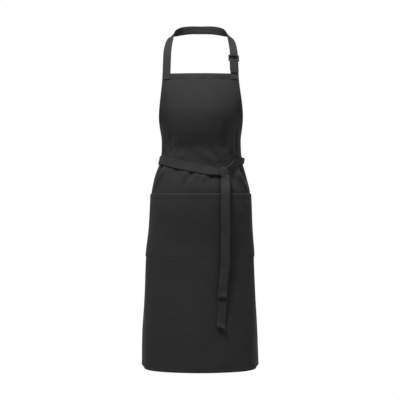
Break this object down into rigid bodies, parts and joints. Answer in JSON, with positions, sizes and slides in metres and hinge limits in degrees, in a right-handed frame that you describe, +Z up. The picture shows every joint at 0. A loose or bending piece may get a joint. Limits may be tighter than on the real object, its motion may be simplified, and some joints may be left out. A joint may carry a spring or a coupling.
{
  "type": "bib apron",
  "caption": "Charcoal cloth bib apron, shaped as worn, with an adjustable neck strap and slider, a wide patch pocket, and waist ties crossed behind and knotted in front.",
  "frame": {"origin": "middle of the waist, where the tied waist ties hold the wearer", "axes": "+Z up, -Y out of the front of the apron, +X to the right seen from the front"},
  "size_m": [0.3526, 0.2407, 1.0256],
  "materials": {
    "charcoal_twill": "matte",
    "twill_turnings": "matte",
    "slider_plastic": "satin"
  },
  "bodies": {
    "apron": {"front_panel": "charcoal_twill", "bib_top_hem": "twill_turnings", "armhole_hem_left": "twill_turnings", "armhole_hem_right": "twill_turnings", "side_hem_left": "twill_turnings", "side_hem_right": "twill_turnings", "bottom_hem": "twill_turnings", "pocket_panel": "charcoal_twill", "pocket_top_hem": "twill_turnings", "pocket_bottom_seam": "twill_turnings", "pocket_side_seam_left": "twill_turnings", "pocket_side_seam_right": "twill_turnings", "strap_anchor_left": "charcoal_twill", "tab_anchor_right": "charcoal_twill", "waist_tie_left": "charcoal_twill", "waist_tie_right": "charcoal_twill", "waist_knot": "charcoal_twill"},
    "neck_loop": {"neck_strap": "charcoal_twill", "slider_tab": "charcoal_twill", "strap_slider": "slider_plastic"},
    "strap_end": {"strap_tail": "charcoal_twill", "strap_end_hem": "twill_turnings"},
    "tie_end_back": {"tie_tail_back": "charcoal_twill", "tie_end_hem_back": "twill_turnings"},
    "tie_end_front": {"tie_tail_front": "charcoal_twill", "tie_end_hem_front": "twill_turnings"}
  },
  "joints": [
    {"name": "neck_loop_lift", "type": "hinge", "parent": "apron", "child": "neck_loop", "pos_m": [0, -0.07676, 0.26725], "axis": [1, 0, 0], "range_deg": [0, 100]},
    {"name": "strap_feed", "type": "slide", "parent": "neck_loop", "child": "strap_end", "axis": [-0.0226, 0.2764, 0.9608], "range_m": [0, 0.02], "deforming": ["strap_tail"]},
    {"name": "tie_back_swing", "type": "hinge", "parent": "apron", "child": "tie_end_back", "pos_m": [0.072, -0.10464, -0.0389], "axis": [-1, 0, 0], "range_deg": [0, 60]},
    {"name": "tie_front_swing", "type": "hinge", "parent": "tie_end_back", "child": "tie_end_front", "pos_m": [0.072, -0.10684, -0.0389], "axis": [-1, 0, 0], "range_deg": [0, 30]}
  ]
}
